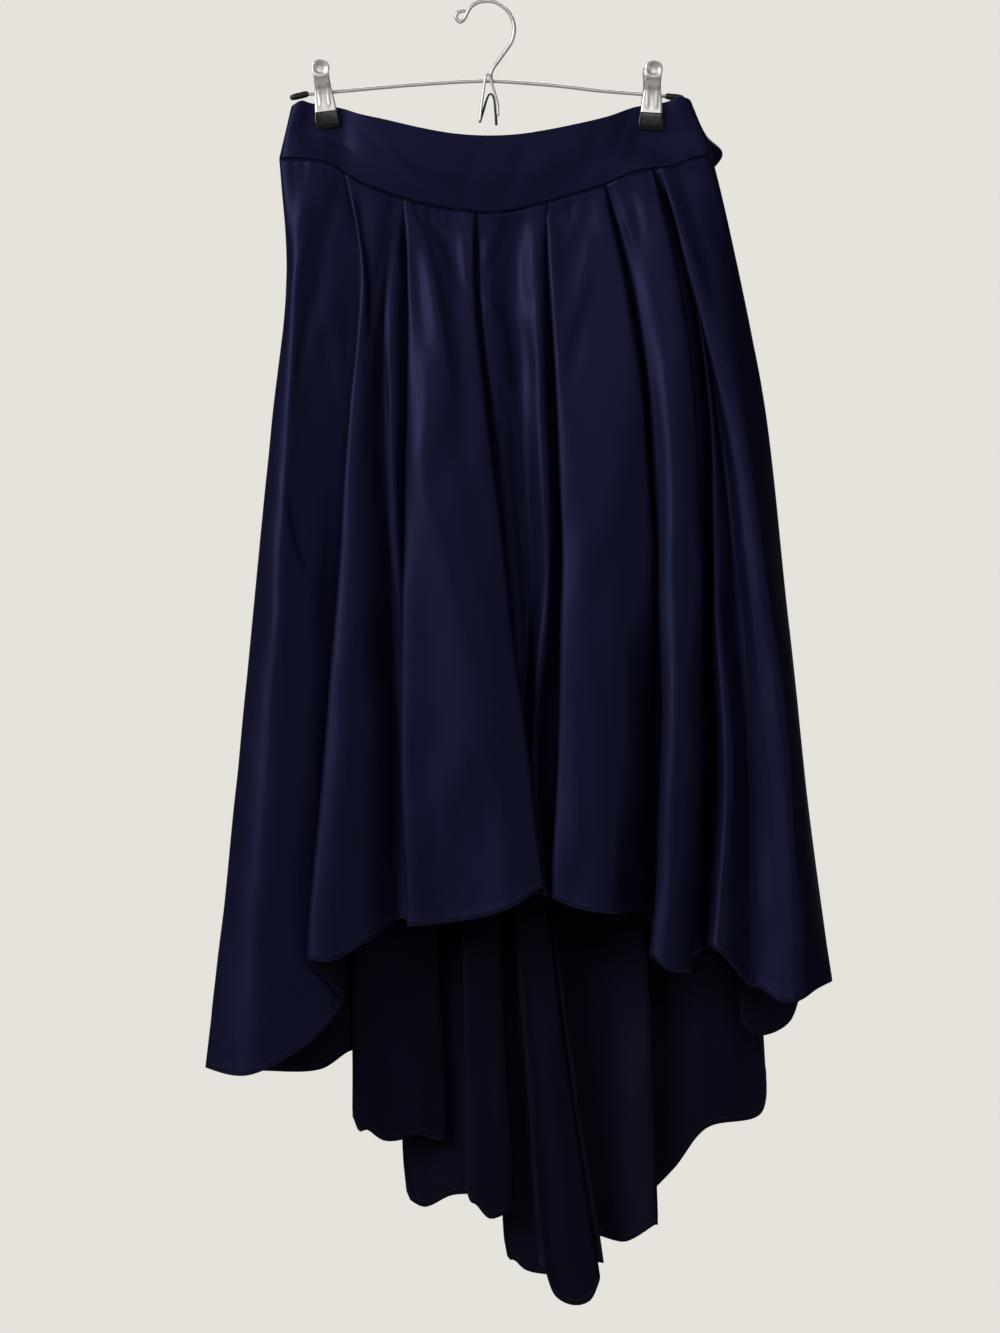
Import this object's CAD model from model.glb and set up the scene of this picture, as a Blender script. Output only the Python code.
# %% [markdown]
# A high-low skirt hangs flat from a wire hanger with two clips. The real one is cut from
# navy satin: a front panel, two back panels that reach 370 mm lower, and a shaped waistband.
# This lesson dresses the plain solids of the frame, in the same place and at the same size,
# so the first step loads them and keeps their box to compare with at the end.

# %% Load the frame
import math

import bmesh
import bpy
import numpy as np
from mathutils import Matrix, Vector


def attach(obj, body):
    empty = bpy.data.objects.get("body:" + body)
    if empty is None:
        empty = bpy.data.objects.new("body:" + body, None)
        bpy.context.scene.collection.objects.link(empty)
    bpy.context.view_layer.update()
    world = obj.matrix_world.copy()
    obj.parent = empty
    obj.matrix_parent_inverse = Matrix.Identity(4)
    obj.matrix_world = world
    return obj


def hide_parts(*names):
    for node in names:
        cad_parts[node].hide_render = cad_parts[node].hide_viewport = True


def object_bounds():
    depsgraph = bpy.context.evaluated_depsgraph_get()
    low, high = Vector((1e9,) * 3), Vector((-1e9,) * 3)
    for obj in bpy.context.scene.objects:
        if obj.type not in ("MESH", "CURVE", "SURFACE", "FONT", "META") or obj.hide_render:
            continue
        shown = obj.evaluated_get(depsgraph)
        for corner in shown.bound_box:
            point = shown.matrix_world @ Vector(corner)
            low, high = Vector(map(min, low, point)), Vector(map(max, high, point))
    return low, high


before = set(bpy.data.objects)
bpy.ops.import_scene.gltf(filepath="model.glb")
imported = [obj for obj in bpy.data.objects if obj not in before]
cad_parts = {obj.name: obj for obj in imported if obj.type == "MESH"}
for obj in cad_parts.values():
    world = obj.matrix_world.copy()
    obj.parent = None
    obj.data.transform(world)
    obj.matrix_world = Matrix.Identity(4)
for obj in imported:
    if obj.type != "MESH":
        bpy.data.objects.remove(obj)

MM = 0.001
CAD_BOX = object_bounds()
print("frame box in metres:", [[round(float(c), 3) for c in corner] for corner in CAD_BOX])

# %% [markdown]
# The photograph looks straight at the hanger. One of its pixels is 0.9 mm at the cloth, and
# the image is 1000 by 1333, so the lens follows from the distance: sensor height times
# distance over the height of what it sees. Front and back hem are drawn at one scale in the
# photograph, so the camera stands well back. It is level with the middle of the picture.

# %% Camera
PIXEL = 0.9 * MM
IMAGE = (1000, 1333)
CAMERA_AWAY = 6.0
SENSOR = 36.0
view_height = IMAGE[1] * PIXEL
middle = ((IMAGE[0] / 2 - 488) * PIXEL, -(IMAGE[1] / 2 - 3) * PIXEL)
camera_data = bpy.data.cameras.new("camera")
camera_data.sensor_fit = "VERTICAL"
camera_data.sensor_height = SENSOR
camera_data.lens = SENSOR * CAMERA_AWAY / view_height
camera_data.clip_end = 50.0
camera = bpy.data.objects.new("camera", camera_data)
camera.location = (middle[0], -CAMERA_AWAY, middle[1])
camera.rotation_euler = (math.radians(90), 0.0, 0.0)
bpy.context.scene.collection.objects.link(camera)
bpy.context.scene.camera = camera
print("lens in mm:", round(camera_data.lens, 1))

# %% [markdown]
# Dark satin shows its folds only where light comes from one side, so the studio has one
# large soft lamp above and to the left of the viewer, a weak one on the right and one
# behind for the rear. The world is pale where the camera sees it, but lights the cloth
# only a little, as a dim room would. Area lamps are the softest plain choice.

# %% Light and floor
def hex_colour(text, alpha=1.0):
    """sRGB hex to linear: the part over 0.04045 by the 2.4 power law, the rest by 12.92."""
    values = [int(text[i:i + 2], 16) / 255 for i in (1, 3, 5)]
    linear = [v / 12.92 if v <= 0.04045 else ((v + 0.055) / 1.055) ** 2.4 for v in values]
    return (*linear, alpha)


def add(tree, kind, inputs=None, **settings):
    """Adds a node: settings are its properties, inputs its values or the outputs to link."""
    node = tree.nodes.new(kind)
    for name, value in settings.items():
        setattr(node, name, value)
    for name, value in (inputs or {}).items():
        if isinstance(value, bpy.types.NodeSocket):
            tree.links.new(value, node.inputs[name])
        else:
            node.inputs[name].default_value = value
    return node


LAMPS = (
    # name, place, aim, size, watts
    ("key", (-2.3, -1.7, 0.7), (0.0, 0.0, -0.60), 1.6, 68),
    ("fill", (2.2, -2.0, -0.5), (0.0, 0.0, -0.60), 1.2, 5),
    ("front", (0.3, -3.0, 0.9), (0.0, 0.0, -0.60), 1.4, 14),
    ("rear", (0.3, 2.4, 1.1), (0.0, 0.0, -0.60), 1.6, 50),
)
for name, place, aim, size, watts in LAMPS:
    lamp = bpy.data.lights.new(name, "AREA")
    lamp.size = size
    lamp.energy = watts
    lamp.color = (1.0, 0.98, 0.95)
    lamp_object = bpy.data.objects.new(name, lamp)
    lamp_object.location = place
    toward = [a - p for a, p in zip(aim, place)]
    yaw = math.atan2(toward[0], -toward[1])
    pitch = math.atan2(math.hypot(toward[0], toward[1]), -toward[2])
    lamp_object.rotation_euler = (pitch, 0.0, math.pi + yaw)
    lamp_object.visible_camera = False
    bpy.context.scene.collection.objects.link(lamp_object)

PALE = hex_colour("#e6e2dc")
world = bpy.data.worlds.new("studio")
world.use_nodes = True
world.node_tree.nodes.clear()
seen = add(world.node_tree, "ShaderNodeBackground", {"Color": PALE, "Strength": 1.0})
lit = add(world.node_tree, "ShaderNodeBackground", {"Color": PALE, "Strength": 0.06})
path = add(world.node_tree, "ShaderNodeLightPath")
mixed = add(world.node_tree, "ShaderNodeMixShader", {
    0: path.outputs["Is Camera Ray"], 1: lit.outputs[0], 2: seen.outputs[0]})
add(world.node_tree, "ShaderNodeOutputWorld", {"Surface": mixed.outputs[0]})
bpy.context.scene.world = world
bpy.context.scene.view_settings.view_transform = "Standard"

FLOOR_DROP = 0.30
floor_z = float(CAD_BOX[0][2]) - FLOOR_DROP
around = np.linspace(0, 2 * math.pi, 65)[:-1]
rim = np.column_stack([0.9 * np.cos(around), 0.9 * np.sin(around), np.full(64, floor_z)])
floor_mesh = bpy.data.meshes.new("floor")
floor_mesh.from_pydata(rim.tolist(), [], [tuple(range(64))])
floor = bpy.data.objects.new("floor", floor_mesh)
floor_paint = bpy.data.materials.new("floor_paint")
floor_paint.use_nodes = True
floor_paint.node_tree.nodes["Principled BSDF"].inputs["Base Color"].default_value = PALE
floor_paint.node_tree.nodes["Principled BSDF"].inputs["Roughness"].default_value = 0.8
floor_mesh.materials.append(floor_paint)
bpy.context.scene.collection.objects.link(floor)
print("floor at", round(floor_z, 3))

# %% [markdown]
# Satin is woven with long floats on one face. Light skates along them, so the outside has
# a broad, soft shine tinted by the dye, and the inside is nearly matt. Threads are about
# 0.1 mm apart, too fine to show here, so the slubs are drawn 1.5 mm wide and 40 mm long,
# which is as fine as the render can carry. The cloth's own UV map holds millimetres across
# and down the panel, so the streaks follow every fold.

# %% Satin, outside and inside
def satin(name, colour, roughness, shine, sheen):
    """Woven satin: dyed floats, streaks along the warp and a faint unevenness of the dye."""
    material = bpy.data.materials.new(name)
    material.use_nodes = True
    tree = material.node_tree
    shader = tree.nodes["Principled BSDF"]
    cloth = add(tree, "ShaderNodeUVMap", uv_map="cloth")
    slubs = add(tree, "ShaderNodeMapping", {"Vector": cloth.outputs[0], "Scale": (0.66, 0.025, 1.0)})
    streak = add(tree, "ShaderNodeTexNoise", {
        "Vector": slubs.outputs[0], "Scale": 1.0, "Detail": 3.0, "Roughness": 0.55})
    patch_map = add(tree, "ShaderNodeMapping", {
        "Vector": cloth.outputs[0], "Scale": (0.018, 0.006, 1.0)})
    patch = add(tree, "ShaderNodeTexNoise", {"Vector": patch_map.outputs[0], "Scale": 1.0, "Detail": 2.0})
    dye = add(tree, "ShaderNodeMixRGB", {
        0: patch.outputs["Fac"],
        1: [c * 0.82 for c in colour[:3]] + [1.0],
        2: [c * 1.16 for c in colour[:3]] + [1.0]})
    rough = add(tree, "ShaderNodeMapRange", {
        "Value": streak.outputs["Fac"], "From Min": 0.3, "From Max": 0.7,
        "To Min": roughness - 0.05, "To Max": roughness + 0.06})
    bump = add(tree, "ShaderNodeBump", {
        "Height": streak.outputs["Fac"], "Strength": 0.10, "Distance": 0.00025})
    tree.links.new(dye.outputs[0], shader.inputs["Base Color"])
    tree.links.new(rough.outputs[0], shader.inputs["Roughness"])
    tree.links.new(bump.outputs[0], shader.inputs["Normal"])
    shader.inputs["IOR"].default_value = 1.46
    shader.inputs["Specular IOR Level"].default_value = shine
    shader.inputs["Specular Tint"].default_value = hex_colour("#98a0ff")
    shader.inputs["Sheen Weight"].default_value = sheen
    shader.inputs["Sheen Roughness"].default_value = 0.35
    shader.inputs["Sheen Tint"].default_value = hex_colour("#5560a8")
    return material


SATIN = satin("woven_satin_face", hex_colour("#0f1027"), 0.47, 0.36, 0.03)
SATIN_BACK = satin("woven_satin_back", hex_colour("#0b0b16"), 0.62, 0.20, 0.015)
BAND_SATIN = satin("interfaced_satin", hex_colour("#0f1027"), 0.50, 0.34, 0.03)


def plain(name, colour, roughness, metallic=0.0, grit=0.0008, bump_depth=0.00004):
    """A hard finish with a fine unevenness of the given size in metres."""
    material = bpy.data.materials.new(name)
    material.use_nodes = True
    tree = material.node_tree
    shader = tree.nodes["Principled BSDF"]
    where = add(tree, "ShaderNodeTexCoord")
    grain = add(tree, "ShaderNodeTexNoise", {
        "Vector": where.outputs["Object"], "Scale": 1.0 / grit, "Detail": 2.0})
    spread = add(tree, "ShaderNodeMapRange", {
        "Value": grain.outputs["Fac"], "To Min": max(roughness - 0.06, 0.03), "To Max": roughness + 0.06})
    bump = add(tree, "ShaderNodeBump", {
        "Height": grain.outputs["Fac"], "Strength": 0.25, "Distance": bump_depth})
    tree.links.new(spread.outputs[0], shader.inputs["Roughness"])
    tree.links.new(bump.outputs[0], shader.inputs["Normal"])
    shader.inputs["Base Color"].default_value = hex_colour(colour)
    shader.inputs["Metallic"].default_value = metallic
    return material


# Chromed steel wire and pressings. Years of sliding on rails have dulled the chrome, so it
# is bright but no mirror, and part of the light is scattered by fine scratches.
CHROME = plain("chromed_steel", "#e6e4e1", 0.34, 0.55, grit=0.004)
# Moulded rubber: black, matt, with a fine grain that catches the light at the edges.
RUBBER = plain("moulded_rubber", "#161617", 0.48)
# Vinyl sleeves on the clip tips: dipped, smoky and dented, so that they glint here and there.
VINYL = plain("dipped_vinyl", "#1a1a1b", 0.24, grit=0.005, bump_depth=0.0009)
# Polyester thread, dyed to match. It has no shine of its own, so a stitch reads as a small bump.
THREAD = plain("polyester_thread", "#11132b", 0.60)
print("materials:", len(bpy.data.materials))

# %% [markdown]
# Every panel is one sheet through its fold lines. A row of a table is one ridge, valley or
# pleat edge: its x at six levels between the waist seam and the hem, where it meets the
# hem, and its depth at four levels, all in millimetres. The frame's solids were made from
# the same rows, so the fine cloth lies on them. A grid of smooth cubics through rows is
# easier to steer than a simulation, which would never find the folds of this photograph.

# %% Fold lines of the front panel
FOLD_LEVELS = (0.0, 0.12, 0.30, 0.55, 0.80, 1.0)
DEPTH_LEVELS = (0.0, 0.30, 0.65, 1.0)
FRONT_SEAM = (
    (-187, -140), (-173, -140), (-153, -142), (-136, -147), (-125, -156), (-113, -163),
    (-88, -172), (-68, -179), (-43, -184), (-18, -188), (7, -189), (32, -185), (52, -180),
    (80, -172), (103, -165), (120, -157), (137, -151), (151, -149), (167, -147), (182, -141),
    (193, -138.5), (201, -137),
)
FRONT_FOLDS = (
    ("left_side",      -187, -181, -195, -215, -235, -254, -957,  -0.2,  -0.2,  -0.2,  -0.2),
    ("left_wrap",      -186, -180, -194, -214, -234, -253, -958,  -5,    -7,    -8,    -8),
    ("left_crest",     -169, -173, -180, -194, -207, -214, -963,  -9,   -24,   -32,   -34),
    ("left_shoulder",  -149, -155, -164, -160, -157, -154, -930,  -9,   -18,   -23,   -25),
    ("left_under",     -122, -112, -113, -122, -129, -129, -900,  -5,   -10,   -11,   -11),
    ("first_edge",     -127, -114, -124, -135, -150, -161, -859, -12,   -30,   -38,   -42),
    ("first_crest",    -118, -108, -115, -120, -132, -142, -861, -11,   -32,   -44,   -48),
    ("first_slope",    -100, -102, -106, -102, -104, -106, -842, -11,   -26,   -34,   -36),
    ("first_valley",    -82,  -92,  -93,  -86,  -81,  -80, -824,  -8,   -14,   -15,   -16),
    ("strip_crest",     -75,  -85,  -86,  -78,  -72,  -71, -824,  -8,   -20,   -18,   -17),
    ("second_under",    -68,  -66,  -66,  -66,  -62,  -60, -828,  -5,   -10,   -11,   -12),
    ("second_edge",     -74,  -72,  -72,  -76,  -76,  -71, -830, -13,   -26,   -30,   -32),
    ("second_side",     -58,  -58,  -58,  -56,  -49,  -41, -827, -11,   -36,   -37,   -37),
    ("second_rise",     -43,  -42,  -39,  -30,  -18,   -9, -822, -11,   -36,   -46,   -45),
    ("second_crest",    -27,  -27,  -22,   -5,   11,   22, -812, -11,   -33,   -48,   -52),
    ("third_edge",      -13,  -12,   -1,   17,   35,   49, -795, -12,   -28,   -38,   -46),
    ("third_under",     -22,  -22,  -13,    5,   23,   38, -798,  -5,   -10,   -11,   -12),
    ("middle_rise",       2,    0,    8,   22,   29,   43, -801, -10,   -20,   -17,   -13),
    ("middle_valley",    24,   22,   29,   37,   33,   47, -802,  -6,   -12,   -12,   -12),
    ("middle_ridge",     46,   46,   48,   54,   40,   52, -803, -11,   -25,   -25,   -19),
    ("middle_dip",       55,   57,   60,   64,   52,   57, -804,  -7,   -13,   -13,   -12),
    ("fourth_under",     62,   67,   73,   77,   71,   68, -807,  -5,   -10,   -11,   -11),
    ("fourth_edge",      52,   57,   63,   67,   62,   57, -805, -13,   -26,   -36,   -39),
    ("fourth_side",      70,   74,   80,   86,   83,   79, -813, -11,   -32,   -43,   -46),
    ("fourth_crest",     87,   95,  104,  113,  112,  108, -818, -11,   -33,   -45,   -48),
    ("fifth_edge",      104,  121,  138,  148,  143,  137, -816, -12,   -29,   -26,   -23),
    ("fifth_under",      96,  111,  131,  151,  153,  152, -830,  -5,   -12,   -12,   -11),
    ("sixth_edge",      117,  131,  148,  155,  156,  147, -857, -11,   -27,   -42,   -46),
    ("sixth_crest",     131,  146,  162,  168,  167,  162, -869, -11,   -36,   -52,   -54),
    ("seventh_edge",    147,  168,  185,  191,  189,  180, -870, -13,   -30,   -40,   -42),
    ("seventh_under",   141,  163,  179,  185,  183,  175, -864,  -6,   -11,   -12,   -12),
    ("right_valley",    150,  175,  192,  194,  195,  191, -853,  -5,   -10,   -10,   -10),
    ("right_ridge",     157,  180,  199,  204,  214,  203, -850,  -6,   -18,   -36,   -44),
    ("right_under",     163,  186,  207,  226,  238,  238, -884,  -5,   -13,   -22,   -26),
    ("eighth_edge",     155,  180,  213,  239,  258,  265, -898, -16,   -28,   -35,   -37),
    ("right_crest",     170,  196,  226,  252,  272,  279, -896, -12,   -32,   -40,   -42),
    ("right_shoulder",  188,  211,  239,  263,  284,  297, -885, -10,   -20,   -26,   -26),
    ("right_wrap",      200,  221,  247,  268,  288,  308, -880,  -5,    -7,    -8,    -8),
    ("right_side",      201,  222,  248,  269,  289,  309, -879,  -0.2,  -0.2,  -0.2,  -0.2),
)
print("front panel lines:", len(FRONT_FOLDS))

# %% [markdown]
# The back is two panels that meet at the centre-back seam, and both reach about 400 mm below
# the front. Only their lower parts and a puff of the band show in the photograph. What the
# front panel hides is drawn as the same kind of soft pleats as on the front.

# %% Fold lines of the back panels
BACK_SEAM = (
    (-187, -140), (-165, -147), (-130, -160), (-90, -173), (-45, -185), (7, -192),
    (60, -186), (105, -174), (150, -163), (182, -156), (201, -150),
)
BACK_LEFT_FOLDS = (
    ("left_side",      -187, -181, -195, -215, -235, -254, -957,   0.2,   0.2,   0.2,   0.2),
    ("left_wrap",      -186, -180, -194, -214, -234, -253, -958,   5,     7,     8,     8),
    ("left_rear",      -178, -176, -178, -185, -194, -203, -962,   8,    22,    24,    16),
    ("left_rear_mid",  -164, -156, -150, -151, -152, -151, -961,   9,    32,    34,    22),
    ("left_rear_end",  -149, -136, -129, -126, -121, -120, -944,   8,    34,    36,    27),
    ("one_turn",       -140, -126, -116, -109, -103, -101, -967,  10,    38,    42,    33),
    ("one_edge",       -145, -134, -127, -124, -122, -122, -999,   5,    25,    24,    15),
    ("one_mid",        -128, -112, -104,  -99,  -96,  -95, -1025,  7,    28,    28,    19),
    ("one_end",        -113,  -98,  -86,  -72,  -60,  -54, -1022,  7,    30,    34,    26),
    ("two_turn",       -107,  -91,  -76,  -58,  -44,  -37, -1034,  9,    34,    40,    33),
    ("two_edge",       -115, -101,  -90,  -82,  -77,  -76, -1077, 13,    40,    48,    41),
    ("two_mid",        -102,  -88,  -76,  -66,  -59,  -58, -1087, 13.5,  42,    50,    43),
    ("two_end",         -92,  -76,  -61,  -46,  -36,  -32, -1076, 12,    38,    46,    39),
    ("three_turn",      -79,  -62,  -44,  -24,   -8,   -2, -1075, 10,    34,    36,    29),
    ("three_edge",      -86,  -72,  -54,  -32,  -22,  -20, -1065,  5,    22,    22,    13),
    ("three_mid",       -70,  -60,  -43,  -18,   -4,    1, -1095,  6,    21,    18,    11),
    ("four_turn",       -57,  -48,  -28,    0,   14,   22, -1088,  9,    27,    24,    17),
    ("four_edge",       -63,  -56,  -38,  -12,    5,   14, -1116, 13,    36,    34,    27),
    ("four_mid",        -49,  -42,  -24,    4,   22,   32, -1142, 13,    38,    38,    31),
    ("five_turn",       -34,  -26,   -6,   23,   44,   56, -1147, 10,    34,    32,    25),
    ("five_edge",       -41,  -36,  -16,   13,   33,   48, -1134,  5,    22,    14,     9),
    ("five_front",      -24,  -23,   -6,   23,   46,   61, -1165,  6,    20,    12,     8),
    ("five_low",         -9,   -9,    2,   31,   56,   78, -1173,  7,    20,    11,     8),
    ("five_end",          1,    0,    9,   38,   66,   92, -1169,  7,    21,    12,     9),
    ("centre_wrap",       6,    4,   13,   42,   71,  100, -1153,  7.5,  22.5,  13.5,  11.5),
    ("centre_back",       7,    5,   14,   43,   72,  101, -1148,  9,    25,    16,    14),
)
BACK_RIGHT_FOLDS = (
    ("centre_back",       7,    5,   14,   43,   72,  101, -1148,  9.4,  25.4,  16.4,  14.4),
    ("centre_rear",       6,    4,   13,   42,   71,  100, -1147, 12,    28,    19,    17),
    ("six_turn",          5,   -2,    4,   32,   58,   80, -1133, 16,    36,    28,    25),
    ("six_edge",         15,   10,   22,   56,   84,   98, -1112, 16.5,  42,    34,    29),
    ("six_mid",          35,   40,   56,   86,  112,  124, -1117, 14,    40,    34,    26),
    ("seven_lead_turn",  56,   72,   98,  132,  147,  152, -1101,  8,    30,    24,    18),
    ("seven_turn",       50,   64,   88,  121,  137,  142, -1077, 13,    42,    40,    32),
    ("seven_mid",        74,   92,  118,  148,  164,  169, -1051, 13,    43,    43,    36),
    ("seven_ridge",      94,  118,  147,  178,  194,  198, -1015,  9,    38,    40,    35),
    ("seven_end",       117,  144,  176,  210,  232,  248, -1001,  8.5,  36,    40,    36),
    ("right_rear_turn", 127,  154,  188,  222,  238,  242, -928,   9,    34,    38,    31),
    ("right_rear_edge", 120,  146,  178,  208,  224,  228, -921,   5,    24,    24,    18),
    ("right_rear_low",  141,  168,  200,  226,  238,  241, -930,   7,    26,    24,    14),
    ("right_rear_mid",  166,  190,  220,  246,  258,  261, -926,   8,    26,    24,    13),
    ("right_rear_end",  188,  208,  236,  258,  274,  283, -908,   8,    20,    20,    12),
    ("right_wrap",      200,  221,  247,  268,  288,  308, -881,   5,     7,     8,     8),
    ("right_side",      201,  222,  248,  269,  289,  309, -879,   0.2,   0.2,   0.2,   0.2),
)
print("back panel lines:", len(BACK_LEFT_FOLDS) + len(BACK_RIGHT_FOLDS))

# %% [markdown]
# The waistband is narrow at the ends and 65 mm deep at the centre, as it was cut to follow
# the waist. A row holds the x and z of its top edge, the x of the seam below, how far it
# bulges sideways between them, and its depth at four levels, the second of which is where
# the clips grip it.

# %% Waistband tables
FRONT_BAND = (
    ("left_side",   -176,  -93, -187,  0, -0.2,  -0.2,  -0.2,  -0.2),
    ("left_wrap",   -175,  -92, -186,  0, -2.5,  -3,    -4,    -5),
    ("left_corner", -168,  -88, -178,  0, -4.5,  -4,    -6,    -8),
    ("left_grip",   -160,  -90, -166,  0, -1.8,  -1.7,  -5,    -9),
    ("left_clip",   -148,  -92, -150,  0, -1.7,  -1.7,  -5,   -10),
    ("left_grip_b", -131,  -95, -131,  0, -1.8,  -1.7,  -6,   -10),
    ("left_slope",  -116, -100, -114,  0, -6,    -7,    -9,   -10),
    ("left_dip",     -94, -105,  -88,  0, -9,   -11,   -11,   -11),
    ("left_middle",  -60, -113,  -57,  0, -11,  -13,   -12,   -11),
    ("near_middle",  -32, -118,  -29,  0, -12,  -13,   -12,   -11),
    ("middle",        -3, -120,   -3,  0, -12,  -13,   -12,   -11),
    ("past_middle",   25, -119,   25,  0, -12,  -13,   -12,   -11),
    ("right_middle",  52, -115,   52,  0, -11,  -13,   -12,   -11),
    ("right_dip",     81, -109,   81,  0, -9,   -11,   -11,   -11),
    ("right_slope",  109, -102,  110,  0, -6,    -7,    -9,   -10),
    ("right_grip",   131,  -94,  132,  0, -1.8,  -1.7,  -6,   -10),
    ("right_clip",   148,  -91,  151,  0, -1.7,  -1.7,  -5,   -10),
    ("right_grip_b", 161,  -89,  169,  0, -2.0,  -2.2,  -5,    -9),
    ("right_corner", 173,  -84,  185,  1, -5.6,  -4.5,  -6,    -8),
    ("right_wrap",   180,  -87,  200,  2, -3,    -3.5,  -4,    -5),
    ("right_side",   181,  -88,  201,  2, -0.2,  -0.2,  -0.2,  -0.2),
)
BACK_BAND = (
    ("left_side",   -176,  -93, -187,  0,  0.2,   0.2,   0.2,   0.2),
    ("left_wrap",   -175,  -92, -186,  0,  2.5,   3,     4,     5),
    ("left_corner", -168,  -89, -178,  0,  4.5,   4,     6,     7),
    ("left_grip",   -160,  -91, -166,  0,  1.8,   1.7,   5,     8),
    ("left_clip",   -148,  -93, -150,  0,  1.7,   1.7,   5,     8),
    ("left_grip_b", -131,  -96, -131,  0,  1.8,   1.7,   6,     8),
    ("left_slope",  -114, -102, -114,  0,  6,     7,     8,     9),
    ("left_dip",     -86, -111,  -86,  0,  9,    10,    10,    10),
    ("left_middle",  -48, -120,  -48,  0, 11,    12,    11,    10),
    ("middle",         2, -125,    4,  0, 12,    13,    12,    10),
    ("right_middle",  52, -120,   54,  0, 11,    12,    11,    10),
    ("right_dip",     90, -110,   92,  0,  9,    10,    10,    10),
    ("right_slope",  114, -102,  117,  0,  6,     7,     8,     9),
    ("right_grip",   131,  -96,  136,  0,  1.8,   1.7,   7,     9),
    ("right_clip",   148,  -93,  157,  0,  1.7,   1.7,   8,    12),
    ("right_grip_b", 161,  -90,  173,  3,  2.0,   2.6,  12,    16),
    ("loose_fold",   172,  -84,  190, 12,  6.5,  10,    19,    17),
    ("fold_tip",     179,  -85,  200, 16,  6.5,  14,    18,    13),
    ("fold_inner",   181.5, -87, 202,  9,  4.2,   7,     9,     8),
    ("right_wrap",   181.2, -88, 201,  3,  2,     3,     4,     4),
    ("right_side",   181,  -88,  201,  2,  0.2,   0.2,   0.2,   0.2),
)
print("band lines:", len(FRONT_BAND) + len(BACK_BAND))

# %% [markdown]
# One curve function serves everything. It passes cubic pieces through the values, with a
# slope at each that is the mean of the slopes beside it. The same cubics that drew the
# solids draw the fine cloth, only sampled closer.

# %% The smooth curve
SEAM_GAP = 0.4
TURN_HALF = 1.9
TURN_ENDINGS = ("_edge", "_under", "_turn")
PLAN = (1.0, 1.0, 0.0)


def smooth_curve(knots, values, where, steady=False):
    """Cubic Hermite pieces; slope at a knot = mean of its neighbours' slopes, each weighed
    by the other's length, or their harmonic mean where a steady curve is asked for."""
    knots = np.asarray(knots, float)
    values = np.asarray(values, float).reshape(len(knots), -1)
    steps = np.diff(knots)[:, None]
    slopes = np.diff(values, axis=0) / steps
    before, after = slopes[:-1], slopes[1:]
    if steady:
        alike = before * after > 0
        inner = np.where(alike, 2 * before * after / np.where(alike, before + after, 1.0), 0.0)
    else:
        inner = (before * steps[1:] + after * steps[:-1]) / (steps[1:] + steps[:-1])
    tangents = np.vstack([slopes[:1], inner, slopes[-1:]])
    where = np.asarray(where, float)
    cell = np.clip(np.searchsorted(knots, where, side="right") - 1, 0, len(knots) - 2)
    length = steps[cell]
    s = ((where - knots[cell]) / length[:, 0])[:, None]
    start = (2 * s**3 - 3 * s**2 + 1) * values[cell]
    leave = (s**3 - 2 * s**2 + s) * length * tangents[cell]
    end = (3 * s**2 - 2 * s**3) * values[cell + 1]
    arrive = (s**3 - s**2) * length * tangents[cell + 1]
    return start + leave + end + arrive


def table_curve(table, x):
    """Smooth value of the second column at x, for a table of (x, value) rows."""
    rows = np.asarray(table, float)
    inside = np.clip(np.asarray(x, float), rows[0, 0], rows[-1, 0])
    return smooth_curve(rows[:, 0], rows[:, 1], inside)[:, 0]


def across(points, samples):
    """Smooth line through a row of points; knots are the square roots of the gaps, summed."""
    gaps = np.sqrt(np.linalg.norm(np.diff(points, axis=0), axis=1))
    knots = np.concatenate([[0.0], np.cumsum(gaps)])
    where = [knots[:1]]
    for start, end, count in zip(knots[:-1], knots[1:], samples):
        where.append(np.linspace(start, end, count + 1)[1:])
    return smooth_curve(knots, points, np.concatenate(where))


def round_turns(lines, turning):
    """Doubles each turning line into two, TURN_HALF to either side of it in plan."""
    kept = []
    for k in range(lines.shape[1]):
        if not turning[k]:
            kept.append(lines[:, k])
            continue
        back = (lines[:, k - 1] - lines[:, k]) * PLAN
        ahead = (lines[:, k + 1] - lines[:, k]) * PLAN
        back /= np.linalg.norm(back, axis=1, keepdims=True)
        ahead /= np.linalg.norm(ahead, axis=1, keepdims=True)
        apart = back - ahead
        apart *= TURN_HALF / np.linalg.norm(apart, axis=1, keepdims=True)
        kept += [lines[:, k] + apart, lines[:, k] - apart]
    return np.stack(kept, axis=1)


print("a curve through 0, 1, 0 at its middle:", smooth_curve((0, 1, 2), (0, 1, 0), [1.0])[0, 0])

# %% [markdown]
# A panel's grid has about 4 mm between its points. At the waist every pleat is pressed and
# sewn into one seam, so over the top 40 mm the layers close up to the waistband's depth. The
# front's columns run from right to left, so that on every panel the normal leaves the skirt.

# %% Panel grids
PRESSED = 40.0          # how far below the seam the pleats are pressed, in mm
PRESSED_SHARE = 0.30    # how much of their depth is left in the seam


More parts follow.
